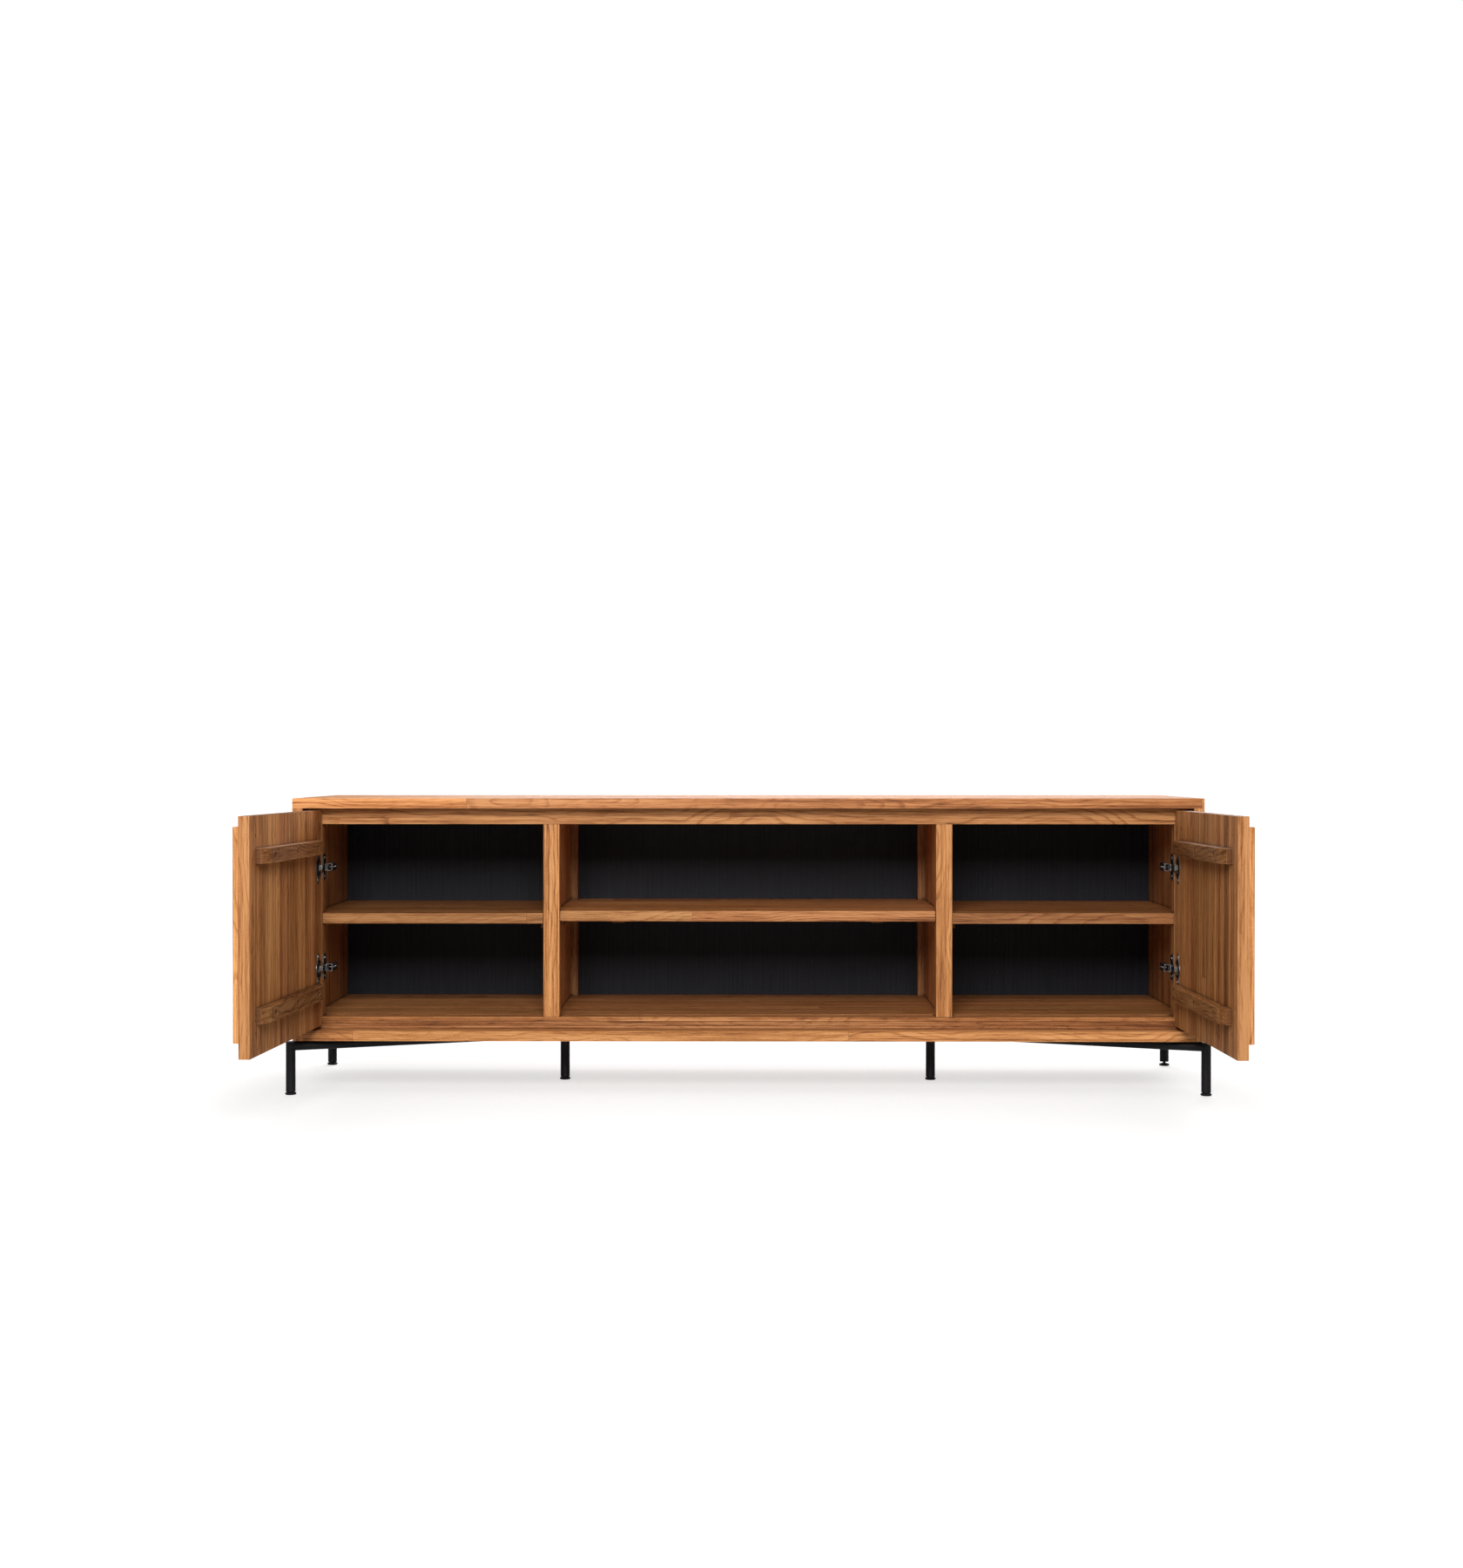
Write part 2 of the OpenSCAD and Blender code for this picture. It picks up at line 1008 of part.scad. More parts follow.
module left_back_leg() {
    color(steel_black)
        stand()
            corner_leg(rear_y, -bar_turn, foot_gap);
}

module left_front_bar() {
    color(steel_black)
        stand()
            bar(front_y, bar_turn, -tube_d);
}

module left_back_bar() {
    color(steel_black)
        stand()
            bar(rear_y, -bar_turn, mid_y);
}

module right_front_leg() {
    color(steel_black)
        stand()
            mirror([1, 0, 0])
                corner_leg(front_y, bar_turn, foot_gap);
}

module right_middle_leg() {
    color(steel_black)
        stand()
            mirror([1, 0, 0])
                middle_leg();
}

// The foot under this leg is screwed out, so its tube ends higher
module right_back_leg() {
    color(steel_black)
        stand()
            mirror([1, 0, 0])
                corner_leg(rear_y, -bar_turn, foot_gap_out);
}

module right_front_bar() {
    color(steel_black)
        stand()
            mirror([1, 0, 0])
                bar(front_y, bar_turn, -tube_d);
}

module right_back_bar() {
    color(steel_black)
        stand()
            mirror([1, 0, 0])
                bar(rear_y, -bar_turn, mid_y);
}

// Every leg's place and the gap between its tube and its pad
LEGS = [
    [-leg_x, front_y, foot_gap],
    [-middle_leg_x, mid_y, foot_gap],
    [-leg_x, rear_y, foot_gap],
    [leg_x, front_y, foot_gap],
    [middle_leg_x, mid_y, foot_gap],
    [leg_x, rear_y, foot_gap_out]
];

// A plug in the tube's end, with a rim against it and a hole for the foot's stem
module leg_inserts() {
    color("#2a2a2c")
        stand()
            for (leg = LEGS)
                translate([leg[0], leg[1], foot_h + leg[2]])
                    difference() {
                        union() {
                            cylinder(d = bore_d, h = insert_h);
                            translate([0, 0, -insert_rim])
                                cylinder(d = tube_d, h = insert_rim);
                        }
                        translate([0, 0, -insert_rim - eps])
                            cylinder(d = stem_d + 0.2, h = insert_h + insert_rim + 2 * eps);
                    }
}

// A pad with an eased lower edge and a sloping top, turned in one piece with its stem
module levelling_feet() {
    edge = 1.5;
    r = foot_d / 2;
    color("#161617")
        stand()
            for (leg = LEGS)
                translate([leg[0], leg[1], 0]) {
                    rotate_extrude()
                        polygon([[0, 0], [r - edge, 0], [r, edge], [r, foot_h - 2], [r - 1, foot_h - 1],
                                 [stem_d, foot_h], [0, foot_h]]);
                    translate([0, 0, foot_h])
                        cylinder(d = stem_d, h = leg[2] + insert_h - 2);
                }
}

top_board();
bottom_board();
left_side();
right_side();
back_panel();
back_panel_screws();
case_dowels();
top_rail();
bottom_rail();
left_end_stile();
right_end_stile();
left_inner_stile();
right_inner_stile();
left_divider();
right_divider();
left_liner();
right_liner();
rear_cleats();
inner_floor();
floor_bearers();
left_shelf();
middle_shelf();
right_shelf();
shelf_bearers();
shelf_battens();
left_door_slab();
left_door_boards();
left_door_battens();
left_door_screws();
left_hinge_cups();
left_hinge_links();
left_hinge_pins();
left_hinge_arms();
left_hinge_plates();
left_hinge_screws();
right_door_slab();
right_door_boards();
right_door_battens();
right_door_screws();
right_hinge_cups();
right_hinge_links();
right_hinge_pins();
right_hinge_arms();
right_hinge_plates();
right_hinge_screws();
left_front_leg();
left_middle_leg();
left_back_leg();
left_front_bar();
left_back_bar();
right_front_leg();
right_middle_leg();
right_back_leg();
right_front_bar();
right_back_bar();
base_plates();
base_screws();
leg_inserts();
levelling_feet();
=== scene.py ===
"""Low teak television stand with both doors open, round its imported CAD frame."""

import math
from typing import NamedTuple

import bpy
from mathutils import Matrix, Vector


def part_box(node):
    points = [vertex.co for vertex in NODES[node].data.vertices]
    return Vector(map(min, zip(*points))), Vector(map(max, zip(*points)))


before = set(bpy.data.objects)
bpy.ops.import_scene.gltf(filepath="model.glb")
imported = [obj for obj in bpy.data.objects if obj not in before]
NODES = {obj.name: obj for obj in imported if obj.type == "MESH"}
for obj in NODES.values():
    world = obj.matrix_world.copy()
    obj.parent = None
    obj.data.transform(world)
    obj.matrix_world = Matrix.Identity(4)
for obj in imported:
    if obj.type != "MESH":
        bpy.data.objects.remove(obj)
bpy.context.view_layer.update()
MM = 0.001
SIDES = ("left", "right")


# Node trees ---------------------------------------------------------------------------

class Tree:
    """A short way to write shader nodes. Each call returns an output socket."""

    def __init__(self, tree):
        self.tree = tree

    def node(self, kind, **settings):
        made = self.tree.nodes.new("ShaderNode" + kind)
        for name, value in settings.items():
            setattr(made, name, value)
        return made

    def put(self, socket, value):
        """Links a socket to an output, or sets it to a constant."""
        if isinstance(value, bpy.types.NodeSocket):
            self.tree.links.new(value, socket)
        else:
            socket.default_value = value

    def math(self, operation, a, b=0.0, c=0.0):
        made = self.node("Math", operation=operation)
        for socket, value in zip(made.inputs, (a, b, c)):
            self.put(socket, value)
        return made.outputs[0]

    def total(self, start, *terms):
        """start plus each (socket, weight)."""
        for socket, weight in terms:
            start = self.math("MULTIPLY_ADD", socket, weight, start)
        return start

    def vector(self, operation, a, b=(0, 0, 0)):
        made = self.node("VectorMath", operation=operation)
        self.put(made.inputs[0], a)
        self.put(made.inputs[1], b)
        return made.outputs["Value" if operation in ("DOT_PRODUCT", "LENGTH") else "Vector"]

    def combine(self, x, y, z):
        made = self.node("CombineXYZ")
        for socket, value in zip(made.inputs, (x, y, z)):
            self.put(socket, value)
        return made.outputs[0]

    def separate(self, vector):
        made = self.node("SeparateXYZ")
        self.put(made.inputs[0], vector)
        return made.outputs[0], made.outputs[1], made.outputs[2]

    def noise(self, point, scales, detail=2.0, roughness=0.5):
        """Noise with about this many lumps to the metre along each axis."""
        made = self.node("TexNoise")
        self.put(made.inputs["Vector"], self.vector("MULTIPLY", point, scales))
        made.inputs["Scale"].default_value = 1.0
        made.inputs["Detail"].default_value = detail
        made.inputs["Roughness"].default_value = roughness
        return made.outputs["Fac"]

    def step(self, value, low, high):
        """0 at low and 1 at high, smooth between them; low may be above high."""
        made = self.node("MapRange", interpolation_type="SMOOTHSTEP")
        self.put(made.inputs["Value"], value)
        flipped = low > high
        made.inputs["From Min"].default_value = min(low, high)
        made.inputs["From Max"].default_value = max(low, high)
        made.inputs["To Min"].default_value = 1.0 if flipped else 0.0
        made.inputs["To Max"].default_value = 0.0 if flipped else 1.0
        return made.outputs[0]

    def ramp(self, value, stops):
        """Colour for a value, from (value, colour) stops."""
        made = self.node("ValToRGB")
        self.put(made.inputs[0], value)
        elements = made.color_ramp.elements
        while len(elements) < len(stops):
            elements.new(1.0)
        for element, (place, colour) in zip(elements, stops):
            element.position = place
            element.color = (*colour, 1)
        return made.outputs[0]

    def mix(self, share, a, b):
        """Colour a, or b where share is 1."""
        made = self.node("Mix", data_type="RGBA")
        self.put(made.inputs[0], share)
        for socket, value in ((made.inputs[6], a), (made.inputs[7], b)):
            self.put(socket, (*value, 1) if isinstance(value, tuple) else value)
        return made.outputs[2]

    def bump(self, height, strength, depth):
        """A normal from a height of 0 to 1, which stands for the depth in metres."""
        made = self.node("Bump")
        self.put(made.inputs["Height"], height)
        made.inputs["Strength"].default_value = strength
        made.inputs["Distance"].default_value = depth
        return made.outputs[0]

    def edges(self, radius):
        """1 on a corner between faces, falling to 0 within the radius of it."""
        made = self.node("Bevel", samples=4)
        made.inputs["Radius"].default_value = radius
        normal = self.node("NewGeometry").outputs["Normal"]
        return self.step(self.vector("DOT_PRODUCT", made.outputs[0], normal), 0.995, 0.80)

    def crevices(self, reach):
        """0 in the open, rising to 1 down a hole or along an inner corner."""
        made = self.node("AmbientOcclusion", samples=4)
        made.inputs["Distance"].default_value = reach
        return self.step(made.outputs["AO"], 0.82, 0.42)


def surface(name, **fixed):
    """A new material, its tree and its shader, with the fixed values set on the shader."""
    material = bpy.data.materials.new(name)
    material.use_nodes = True
    shader = material.node_tree.nodes["Principled BSDF"]
    for socket, value in fixed.items():
        shader.inputs[socket.replace("_", " ")].default_value = value
    return material, Tree(material.node_tree), shader


def object_point(t):
    """The point shaded, in metres in the CAD frame, before any door moves."""
    return t.node("TexCoord").outputs["Object"]


# Wood ---------------------------------------------------------------------------------

TEAK = [                    # from the darkest streaks to the palest
    (0.00, (0.050, 0.014, 0.005)),
    (0.20, (0.190, 0.060, 0.016)),
    (0.40, (0.375, 0.129, 0.035)),
    (0.60, (0.530, 0.200, 0.060)),
    (1.00, (0.800, 0.365, 0.138)),
]
KNOT = (0.042, 0.015, 0.006)        # and the seams
# paler corners: partly wear, partly a painted highlight
WORN_AND_HIGHLIT = (0.66, 0.33, 0.14)
# colour of the painted shade in holes and inner corners
PAINTED_SHADE_COLOUR = (0.022, 0.008, 0.004)
RING = 8.5 * MM             # from one growth ring to the next
APART = 10.0                # metres, so that no two staves are cut from the same wood


def teak_staves(t, across, along, stave, length, seed):
    """Cuts a board into staves of slightly uneven width, and those into lengths.
    Returns the place across in staves, the place along in lengths, and a random colour
    for each length. The seed's factors are odd ones, so that boards don't repeat."""
    even = t.math("DIVIDE", across, stave)
    uneven = t.math("SINE", t.math("MULTIPLY_ADD", even, 2.3, seed))
    place = t.math("MULTIPLY_ADD", seed, 0.37, t.math("MULTIPLY_ADD", uneven, 0.2, even))
    row = t.math("FLOOR", place)
    start = t.node("TexWhiteNoise", noise_dimensions="1D")
    t.put(start.inputs["W"], t.math("MULTIPLY_ADD", seed, 13.7, row))
    run = t.math("MULTIPLY_ADD", start.outputs["Value"], 9.1, t.math("DIVIDE", along, length))
    chance = t.node("TexWhiteNoise", noise_dimensions="3D")
    t.put(chance.inputs["Vector"], t.combine(row, t.math("FLOOR", run), seed))
    return place, run, chance.outputs["Color"]


def teak_rings(t, own, across, through, red, green):
    """Growth rings, 1 in the late wood of each. Their pith wavers, within 40 mm to either
    side of a stave's middle and 12 to 62 mm behind it."""
    wobble = t.noise(own, (7, 7, 3.4), detail=2, roughness=0.4)
    ripple = t.noise(own, (60, 60, 9), detail=2)
    pith_across = t.total(across, (t.math("SUBTRACT", red, 0.5), 0.08))
    pith_through = t.total(0.012, (through, 1.0), (green, 0.05))
    radius = t.vector("LENGTH", t.combine(pith_across, pith_through, 0.0))
    radius = t.total(radius, (wobble, 0.12), (ripple, 0.010))
    phase = t.math("FRACT", t.math("DIVIDE", radius, RING))
    return t.math("MULTIPLY", t.step(phase, 0.55, 0.93), t.step(phase, 1.0, 0.95))


def teak_knots(t, own):
    """A few small dark knots, and the darker wood round each one."""
    cells = t.node("TexVoronoi", feature="F1")
    t.put(cells.inputs["Vector"], t.vector("MULTIPLY", own, (9, 9, 3.2)))
    cells.inputs["Scale"].default_value = 1.0
    chosen = t.step(t.separate(cells.outputs["Color"])[0], 0.76, 0.78)
    far = cells.outputs["Distance"]
    knot = t.math("MULTIPLY", t.step(far, 0.055, 0.025), chosen)
    halo = t.math("MULTIPLY", t.step(far, 0.17, 0.03), chosen)
    return knot, halo


def teak_seams(t, place, run, stave, length, facing):
    """Seams between staves, where they cross the face, and fainter ones at their ends."""
    def seam(value, size, width):
        part = t.math("FRACT", value)
        near = t.math("MULTIPLY", t.math("MINIMUM", part, t.math("SUBTRACT", 1.0, part)), size)
        return t.step(near, width, width * 0.3)

    sides = t.math("MULTIPLY", seam(place, stave, 0.9 * MM), facing)
    ends = t.math("MULTIPLY", seam(run, length, 0.5 * MM), 0.6)
    return t.math("MAXIMUM", sides, ends)


def teak_grain():
    """A group for teak in staves. Point is across, through and along the grain, in metres;
    Facing is 1 on a face that the seams cross, and End is 1 on end grain."""
    group = bpy.data.node_groups.new("teak_grain", "ShaderNodeTree")
    sockets = [("Point", "Vector"), ("Facing", "Float"), ("End", "Float"), ("Stave", "Float"),
               ("Length", "Float"), ("Seed", "Float"), ("Figure", "Float"), ("Tone", "Float")]
    for name, kind in sockets:
        group.interface.new_socket(name, in_out="INPUT", socket_type="NodeSocket" + kind)
    for name, kind in (("Color", "Color"), ("Roughness", "Float"), ("Height", "Float")):
        group.interface.new_socket(name, in_out="OUTPUT", socket_type="NodeSocket" + kind)
    t = Tree(group)
    given = group.nodes.new("NodeGroupInput").outputs
    result = group.nodes.new("NodeGroupOutput").inputs
    point, facing, end, stave, length, seed, figure, tone = [given[name] for name, _ in sockets]
    across, through, along = t.separate(point)

    place, run, chance = teak_staves(t, across, along, stave, length, seed)
    red, green, blue = t.separate(chance)
    own = t.vector("ADD", t.vector("MULTIPLY", chance, (APART, APART, APART)), point)

    # Noise stretched along the grain, from broad bands to single pores
    band = t.noise(own, (42, 42, 0.8), detail=3, roughness=0.6)
    streak = t.noise(own, (120, 120, 1.8), detail=5, roughness=0.68)
    fibre = t.noise(own, (420, 420, 9), detail=3, roughness=0.6)
    mottle = t.noise(own, (14, 14, 4), detail=3, roughness=0.6)
    dust = t.noise(own, (900, 900, 500), detail=1)
    pore = t.step(t.noise(own, (1100, 1100, 36), detail=1), 0.56, 0.70)
    mineral = t.step(t.noise(own, (330, 330, 1.8), detail=2, roughness=0.7), 0.60, 0.70)
    knot, halo = teak_knots(t, own)
    in_stave = t.math("MULTIPLY", t.math("SUBTRACT", t.math("FRACT", place), 0.5), stave)
    ring = t.math("MULTIPLY", teak_rings(t, own, in_stave, through, red, green),
                  t.step(t.math("ADD", mottle, streak), 0.75, 1.20))

    # How pale the wood is, from 0 to 1 along TEAK
    shade = t.total(
        -1.85,
        (band, 1.32), (streak, 1.57), (fibre, 1.23), (mottle, 0.55), (dust, 0.45),
        (t.math("MULTIPLY", ring, figure), -0.32), (pore, -0.26), (mineral, -0.30),
        (halo, -0.20), (blue, 0.10),
    )
    end_shade = t.total(0.02, (mottle, 0.30), (dust, 0.40), (ring, -0.12))
    shade = t.total(shade, (end, t.math("SUBTRACT", end_shade, shade)))

    # Each length has its own hue and brightness
    tint = t.node("HueSaturation")
    t.put(tint.inputs["Color"], t.ramp(shade, TEAK))
    t.put(tint.inputs["Hue"], t.math("MULTIPLY_ADD", red, 0.006, 0.498))
    brightness = t.math("MULTIPLY_ADD", green, 0.34, 0.83)
    t.put(tint.inputs["Value"], t.math("MULTIPLY", brightness, tone))

    seams = teak_seams(t, place, run, stave, length, facing)
    colour = t.mix(t.math("MULTIPLY", knot, 0.85), tint.outputs[0], KNOT)
    colour = t.mix(t.math("MULTIPLY", seams, 0.85), colour, KNOT)

    # Corners are paler: partly wear, partly a painted highlight
    worn_and_highlit = t.math("MULTIPLY", t.edges(1.4 * MM), t.step(mottle, 0.25, 0.55))
    colour = t.mix(t.math("MULTIPLY", worn_and_highlit, 0.6), colour, WORN_AND_HIGHLIT)

    # Painted shade darkens holes and inner corners
    painted_shade = t.crevices(9 * MM)
    colour = t.mix(t.math("MULTIPLY", painted_shade, 0.85), colour, PAINTED_SHADE_COLOUR)

    roughness = t.total(0.42, (streak, 0.16), (pore, 0.12), (worn_and_highlit, -0.06), (painted_shade, 0.2))
    height = t.total(0.5, (fibre, 0.30), (pore, -0.35), (seams, -0.9), (knot, -0.25))
    for name, value in (("Color", colour), ("Roughness", roughness), ("Height", height)):
        t.put(result[name], value)
    return group


TEAK_GRAIN = teak_grain()
AXES = {"X": (1, 0, 0), "Y": (0, 1, 0), "Z": (0, 0, 1)}
WHOLE = 60.0                # metres, longer than any board, so that no stave has an end joint


class Board(NamedTuple):
    """How a board is glued up from staves, and its wood."""
    grain: str              # axis along the grain
    across: str             # axis along which its staves lie side by side
    stave: float            # width of a stave, in metres
    length: float           # length of a stave, in metres
    figure: float           # how strongly its growth rings show
    tone: float             # brightness


def teak(name, board, centre, seed, turn=0.0):
    """Teak for one board with its middle at centre. The seed picks its wood, and its axes
    are turned about Z, for a door that stands open."""
    material, t, shader = surface("teak_" + name, Specular_IOR_Level=0.21)
    through = next(axis for axis in AXES if axis not in (board.grain, board.across))
    turned = t.node("VectorRotate", rotation_type="Z_AXIS")
    t.put(turned.inputs["Vector"], object_point(t))
    turned.inputs["Center"].default_value = centre
    turned.inputs["Angle"].default_value = -turn
    local = dict(zip("XYZ", t.separate(t.vector("SUBTRACT", turned.outputs[0], tuple(centre)))))
    normal = t.node("VectorRotate", rotation_type="Z_AXIS")
    t.put(normal.inputs["Vector"], t.node("TexCoord").outputs["Normal"])
    normal.inputs["Angle"].default_value = -turn

    def facing(axis):
        """1 on a face square to the axis, and 0 on one along it."""
        return t.math("ABSOLUTE", t.vector("DOT_PRODUCT", normal.outputs[0], AXES[axis]))

    wood = t.tree.nodes.new("ShaderNodeGroup")
    wood.node_tree = TEAK_GRAIN
    place = t.combine(local[board.across], local[through], local[board.grain])
    t.put(wood.inputs["Point"], place)
    t.put(wood.inputs["Facing"], t.step(facing(board.across), 0.8, 0.4))
    t.put(wood.inputs["End"], t.step(facing(board.grain), 0.35, 0.75))
    for socket, value in (("Stave", board.stave), ("Length", board.length), ("Seed", seed),
                          ("Figure", board.figure), ("Tone", board.tone)):
        wood.inputs[socket].default_value = value
    t.put(shader.inputs["Base Color"], wood.outputs["Color"])
    t.put(shader.inputs["Roughness"], wood.outputs["Roughness"])
    t.put(shader.inputs["Normal"], t.bump(wood.outputs["Height"], 0.35, 0.5 * MM))
    return material


# Other materials ----------------------------------------------------------------------

def back_paint():
    """Thin black paint over board: faint upright grain, dull patches and specks of dust."""
    black, worn, dust = (0.0030, 0.0031, 0.0056), (0.0130, 0.0134, 0.0215), (0.25, 0.24, 0.23)
    material, t, shader = surface("back_paint", Specular_IOR_Level=0.20)
    point = object_point(t)
    grain = t.noise(point, (200, 200, 5), detail=5, roughness=0.7)
    patch = t.noise(point, (5, 5, 3), detail=3)
    speck = t.step(t.noise(point, (330, 330, 330), detail=0), 0.86, 0.90)
    shade = t.total(-1.10, (grain, 2.6), (patch, 0.6))
    colour = t.ramp(shade, [(0.0, black), (1.0, worn)])
    colour = t.mix(t.math("MULTIPLY", speck, 0.20), colour, dust)
    t.put(shader.inputs["Base Color"], colour)
    t.put(shader.inputs["Roughness"], t.total(0.36, (grain, 0.18), (patch, 0.12)))
    height = t.total(0.0, (grain, 1.0), (speck, 0.5))
    t.put(shader.inputs["Normal"], t.bump(height, 0.45, 0.4 * MM))
    return material


def black_steel():
    """Powder coat: fine orange peel, dusty patches, and paler worn edges."""
    black, dusty, bare = (0.0085, 0.0080, 0.0095), (0.019, 0.0180, 0.021), (0.10, 0.10, 0.105)
    material, t, shader = surface("black_steel", Specular_IOR_Level=0.30)
    point = object_point(t)
    peel = t.noise(point, (900, 900, 900), detail=2)
    patch = t.noise(point, (24, 24, 24), detail=4, roughness=0.6)
    rub = t.math("MULTIPLY", t.edges(1.2 * MM), t.step(patch, 0.45, 0.65))
    shade = t.total(-0.1, (patch, 0.9), (peel, 0.3))
    colour = t.ramp(shade, [(0.0, black), (1.0, dusty)])
    colour = t.mix(t.math("MULTIPLY", rub, 0.4), colour, bare)
    t.put(shader.inputs["Base Color"], colour)
    t.put(shader.inputs["Roughness"], t.total(0.33, (patch, 0.16), (peel, 0.05)))
    t.put(shader.inputs["Normal"], t.bump(peel, 0.30, 0.15 * MM))
    return material


def nickel():
    """Nickel plate: dark faces painted as shade, edges brighter as painted highlights, fine
    drawn lines and tarnish.
    """
    painted_dark_face, clear, bright = (0.045, 0.043, 0.042), (0.240, 0.235, 0.228), (0.85, 0.83, 0.80)
    material, t, shader = surface("nickel", Metallic=1.0)
    point = object_point(t)
    drawn = t.noise(point, (2200, 2200, 60), detail=2)
    tarnish = t.noise(point, (160, 160, 160), detail=4, roughness=0.65)
    # The dark end of this ramp is painted shade
    colour = t.ramp(tarnish, [(0.32, painted_dark_face), (0.68, clear)])
    # Painted highlight: the edges are brighter
    t.put(shader.inputs["Base Color"], t.mix(t.edges(0.6 * MM), colour, bright))
    t.put(shader.inputs["Roughness"], t.total(0.20, (drawn, 0.10), (tarnish, 0.20)))
    t.put(shader.inputs["Normal"], t.bump(drawn, 0.15, 0.05 * MM))
    return material


def foot_plastic():
    """Black moulded plastic with a fine grain and grey scuffs."""
    black, scuffed = (0.012, 0.012, 0.013), (0.075, 0.072, 0.07)
    material, t, shader = surface("foot_plastic", Specular_IOR_Level=0.45)
    point = object_point(t)
    grain = t.noise(point, (1300, 1300, 1300), detail=2)
    scuff = t.step(t.noise(point, (220, 220, 500), detail=4, roughness=0.7), 0.55, 0.75)
    t.put(shader.inputs["Base Color"], t.mix(t.math("MULTIPLY", scuff, 0.35), black, scuffed))
    t.put(shader.inputs["Roughness"], t.total(0.42, (grain, 0.12), (scuff, 0.18)))
    t.put(shader.inputs["Normal"], t.bump(grain, 0.2, 0.1 * MM))
    return material


# Putting materials on the CAD nodes ---------------------------------------------------

def middle(node):
    """The middle of a node's box at rest."""
    low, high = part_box(node)
    return (low + high) / 2


def both(*parts):
    """The names of the left and the right node of each part."""
    return [f"{side}_{part}" for part in parts for side in SIDES]


def paint(material, *names):
    """Gives CAD nodes one material."""
    for name in names:
        node = NODES[name]
        node.data.materials.clear()
        node.data.materials.append(material)


def door_turn(side):
    """Angle of an open door about Z, from the longest level edge of its slab."""
    mesh = NODES[side + "_door_slab"].data
    corners = [vertex.co for vertex in mesh.vertices]
    runs = [corners[edge.vertices[1]] - corners[edge.vertices[0]] for edge in mesh.edges]
    level = [run for run in runs if abs(run.z) < 0.01 * MM]
    longest = max(level, key=lambda run: run.length)
    return math.atan2(longest.y, longest.x)


def dress_case():
    """Teak for the case. Each Board gives grain, across, stave, length, figure and tone."""
    sided = {
        "side": Board("Z", "Y", 0.036, WHOLE, 0.8, 0.95),
        "liner": Board("Z", "Y", 0.034, WHOLE, 0.8, 0.62),
        "divider": Board("Z", "Y", 0.034, WHOLE, 0.8, 1.0),
        # Painted shade: the end stiles are coloured darker, for the shadow of the open doors
        "end_stile": Board("Z", "Y", 0.09, WHOLE, 0.8, 0.52),
        "inner_stile": Board("Z", "Y", 0.09, WHOLE, 1.4, 0.98),
    }
    boards = {
        "top_board": Board("X", "Y", 0.09, 1.45, 1.0, 1.0),
        "bottom_board": Board("X", "Y", 0.09, 0.98, 1.0, 0.89),
        # Painted shade: the top rail is coloured darker, for the shade under the top board
        "top_rail": Board("X", "Y", 0.09, WHOLE, 1.3, 0.82),
        "bottom_rail": Board("X", "Z", 0.0125, WHOLE, 0.8, 0.71),
        "inner_floor": Board("X", "Y", 0.045, 0.75, 1.0, 0.67),
        **{name: board for part, board in sided.items() for name in both(part)},
        "rear_cleats": Board("Z", "X", 0.3, WHOLE, 0.8, 0.62),
        "left_shelf": Board("X", "Y", 0.042, 0.9, 1.0, 0.48),
        "middle_shelf": Board("X", "Y", 0.042, 0.9, 1.0, 0.77),
        "right_shelf": Board("X", "Y", 0.042, 0.9, 1.0, 0.62),
        "shelf_bearers": Board("Y", "X", 0.3, WHOLE, 0.8, 0.75),
        "shelf_battens": Board("Y", "X", 0.3, WHOLE, 0.8, 0.50),
        "floor_bearers": Board("Y", "X", 0.3, WHOLE, 0.8, 0.75),
        "case_dowels": Board("Z", "X", 0.3, WHOLE, 0.8, 1.0),
    }
    for number, (name, board) in enumerate(boards.items(), start=1):
        seed = number * 1.71        # wide enough steps for unlike boards
        paint(teak(name, board, middle(name), seed), name)


def dress_doors():
    """Teak for the doors, with its grain turned as each door stands."""
    side_tones = {"left": 1.0, "right": 0.85}       # the right door is coloured darker, as painted shade
    boards = {
        "slab": Board("Z", "X", 0.042, WHOLE, 0.9, 0.80),
        "boards": Board("Z", "X", 0.06, WHOLE, 1.0, 0.95),
        "battens": Board("X", "Z", 0.3, WHOLE, 1.6, 0.47),
    }
    for door, side in enumerate(SIDES, start=31):
        turn = door_turn(side)
        for number, (part, board) in enumerate(boards.items()):
            name = f"{side}_door_{part}"
            board = board._replace(tone=board.tone * side_tones[side])
            seed = door * 1.3 + number * 7.9
            paint(teak(name, board, middle(name), seed, turn), name)


def dress_metal():
    legs = both("front_leg", "middle_leg", "back_leg", "front_bar", "back_bar")
    hinges = both("door_screws", "hinge_cups", "hinge_links", "hinge_pins", "hinge_arms",
                  "hinge_plates", "hinge_screws")
    paint(back_paint(), "back_panel")
    paint(black_steel(), *legs, "base_plates", "base_screws")
    paint(nickel(), *hinges, "back_panel_screws")
    paint(foot_plastic(), "leg_inserts", "levelling_feet")


# Rounded arrises ----------------------------------------------------------------------

def ease(name, width):
    """Rounds a node's corners, which catch the light, after joining up its flat faces."""
    node = NODES[name]
    weld = node.modifiers.new("weld", "WELD")
    weld.merge_threshold = 0.01 * MM
    flat = node.modifiers.new("flat", "DECIMATE")
    flat.decimate_type = "DISSOLVE"
    flat.angle_limit = math.radians(0.6)
    bevel = node.modifiers.new("arris", "BEVEL")
    bevel.width = width
    bevel.segments = 2
    bevel.limit_method = "ANGLE"
    bevel.angle_limit = math.radians(35)
    normals = node.modifiers.new("normals", "WEIGHTED_NORMAL")
    normals.keep_sharp = True


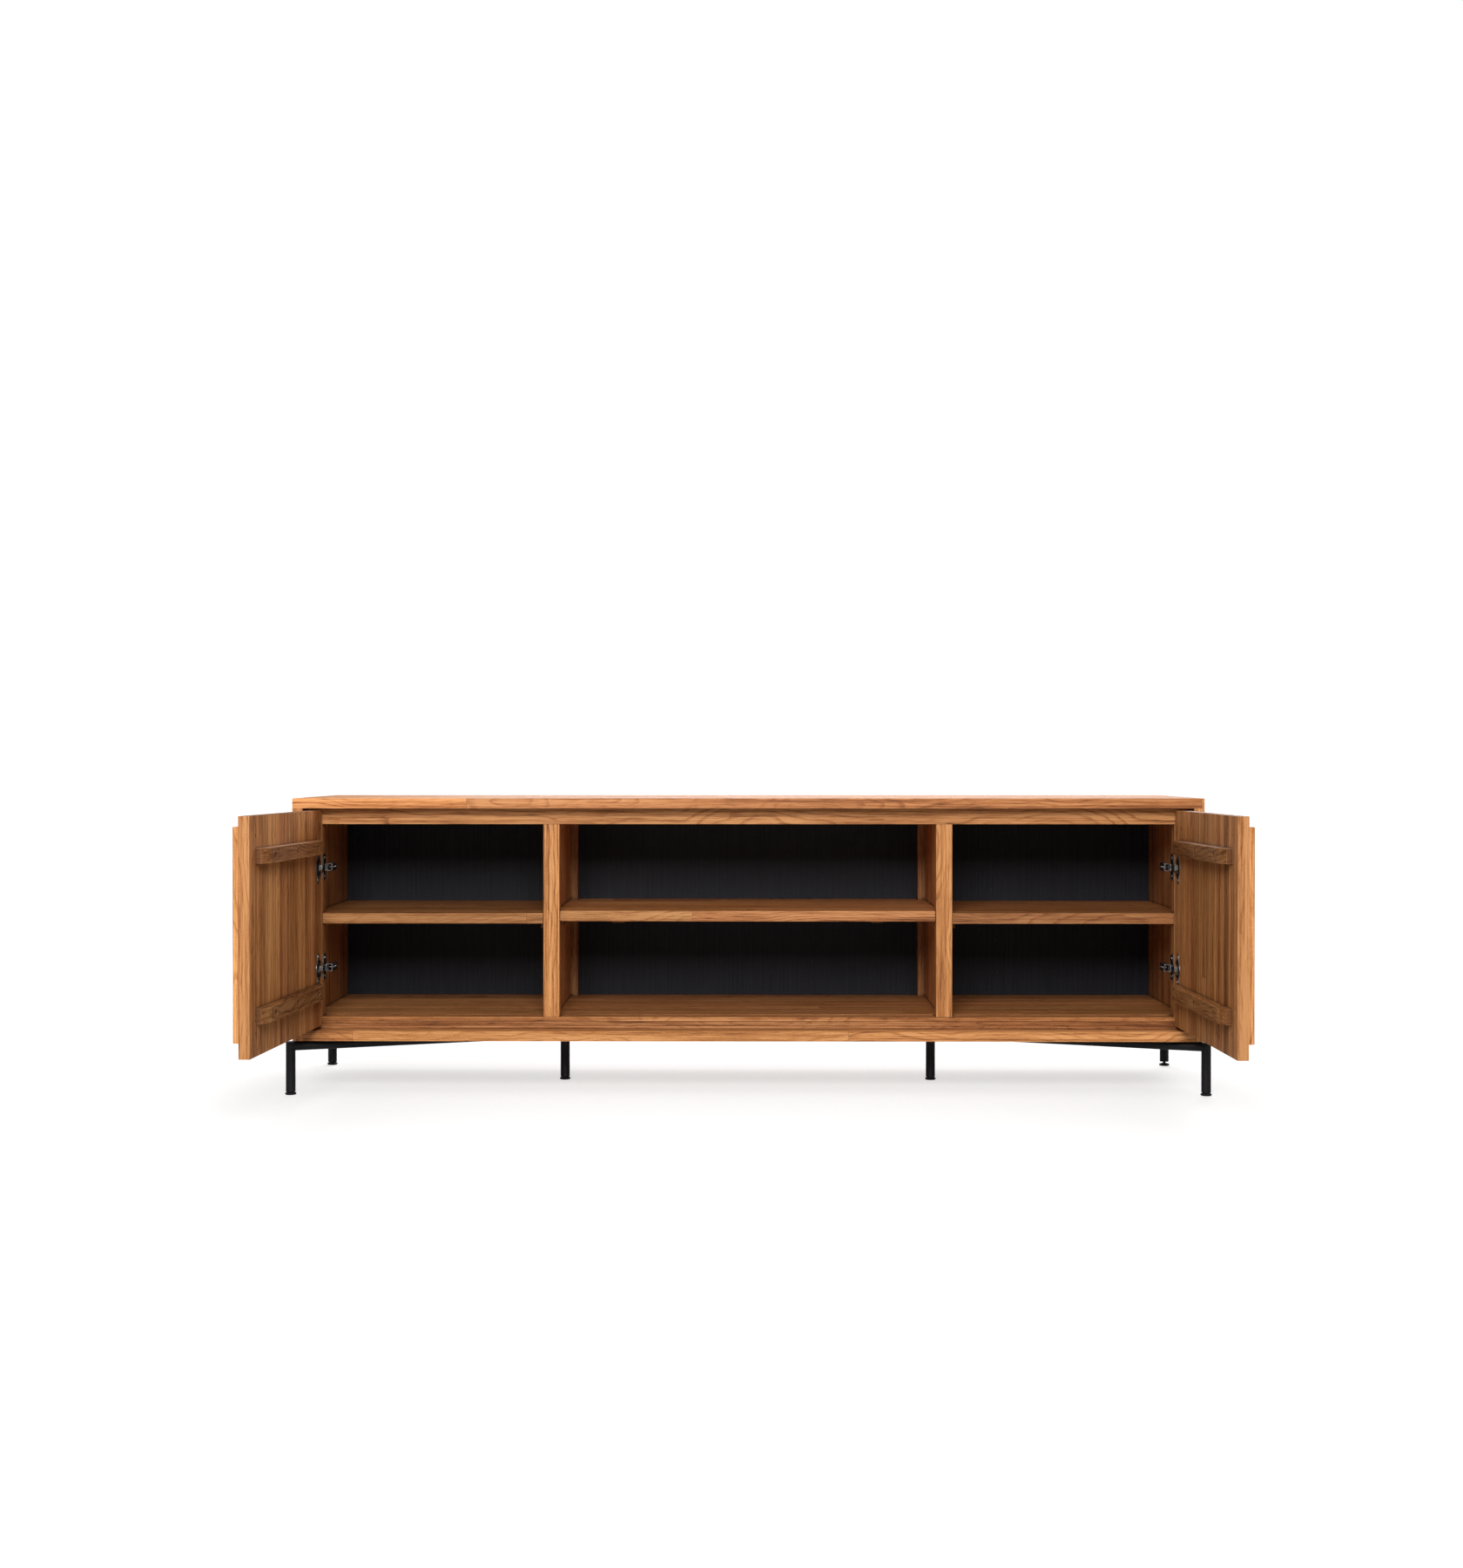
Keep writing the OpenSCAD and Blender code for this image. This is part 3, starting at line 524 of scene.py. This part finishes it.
def ease_boards():
    """Arris widths in millimetres, widest on the boards that are handled."""
    arrises = [
        (1.0, ["top_board", "bottom_board", "middle_shelf",
               *both("side", "inner_stile", "end_stile", "shelf")]),
        (0.6, ["top_rail", "bottom_rail", "rear_cleats", *both("divider", "liner")]),
        (0.9, both("door_slab")),
        (0.8, both("door_battens")),
        (0.4, both("door_boards")),
    ]
    for width, names in arrises:
        for name in names:
            ease(name, width * MM)


# Stage --------------------------------------------------------------------------------

EYE = Vector((0.0013, -4.1416, 0.6519))     # metres
LOOK_LEFT = math.radians(0.457)
LOOK_DOWN = math.radians(0.491)
LENS = 48.37                # on a sensor 36 mm along the picture's long side


def make_camera():
    data = bpy.data.cameras.new("camera")
    data.lens = LENS
    data.clip_start, data.clip_end = 0.05, 60
    camera = bpy.data.objects.new("camera", data)
    camera.location = EYE
    camera.rotation_euler = (math.radians(90) - LOOK_DOWN, 0, LOOK_LEFT)
    bpy.context.scene.collection.objects.link(camera)
    bpy.context.scene.camera = camera


def make_floor():
    """A wide pale floor. Its glow lifts it towards white for the eye, more so further from
    the object, and doesn't light anything."""
    half = 40.0                 # metres
    mesh = bpy.data.meshes.new("floor")
    corners = [(-half, -half, 0), (half, -half, 0), (half, half, 0), (-half, half, 0)]
    mesh.from_pydata(corners, [], [(0, 1, 2, 3)])
    floor = bpy.data.objects.new("floor", mesh)
    floor.location.z = -0.2 * MM        # just under the feet, which stand at 0
    bpy.context.scene.collection.objects.link(floor)
    material, t, shader = surface("floor_paper", Roughness=0.9, Specular_IOR_Level=0.1)
    shader.inputs["Base Color"].default_value = (0.5, 0.5, 0.5, 1)
    shader.inputs["Emission Color"].default_value = (1, 1, 1, 1)
    seen = t.node("LightPath").outputs["Is Camera Ray"]
    away = t.step(t.vector("LENGTH", object_point(t)), 1.2, 4.0)
    glow = t.total(0.62, (away, 0.36))
    t.put(shader.inputs["Emission Strength"], t.math("MULTIPLY", seen, glow))
    mesh.materials.append(material)


def area_light(name, place, target, size, power):
    """A soft box that faces the target: its sides in metres and its power in watts."""
    data = bpy.data.lights.new(name, "AREA")
    data.shape = "RECTANGLE"
    data.size, data.size_y = size
    data.energy = power
    light = bpy.data.objects.new(name, data)
    light.location = place
    light.rotation_euler = (Vector(target) - Vector(place)).to_track_quat("-Z", "Y").to_euler()
    light.visible_camera = False
    bpy.context.scene.collection.objects.link(light)


def make_lights():
    """A key over the viewer, a rim from behind, and a wide even sky from above."""
    area_light("key", (-0.2, -4.3, 2.25), (0, 0, 0.35), (2.0, 1.6), 205)
    area_light("rim", (0.5, 2.9, 2.3), (0, 0, 0.1), (3.6, 1.8), 105)
    data = bpy.data.lights.new("sky", "SUN")
    data.energy = 1.2
    data.angle = math.radians(100)
    sky = bpy.data.objects.new("sky", data)
    bpy.context.scene.collection.objects.link(sky)


def make_world():
    """White to the eye, and a faint light on the object."""
    world = bpy.data.worlds.new("studio")
    world.use_nodes = True
    bpy.context.scene.world = world
    t = Tree(world.node_tree)
    background = world.node_tree.nodes["Background"]
    background.inputs["Color"].default_value = (1, 1, 1, 1)
    seen = t.node("LightPath").outputs["Is Camera Ray"]
    t.put(background.inputs["Strength"], t.total(0.03, (seen, 1.0)))


def main():
    dress_case()
    dress_doors()
    dress_metal()
    ease_boards()
    make_camera()
    make_floor()
    make_lights()
    make_world()
    bpy.context.scene.view_settings.view_transform = "Standard"


main()
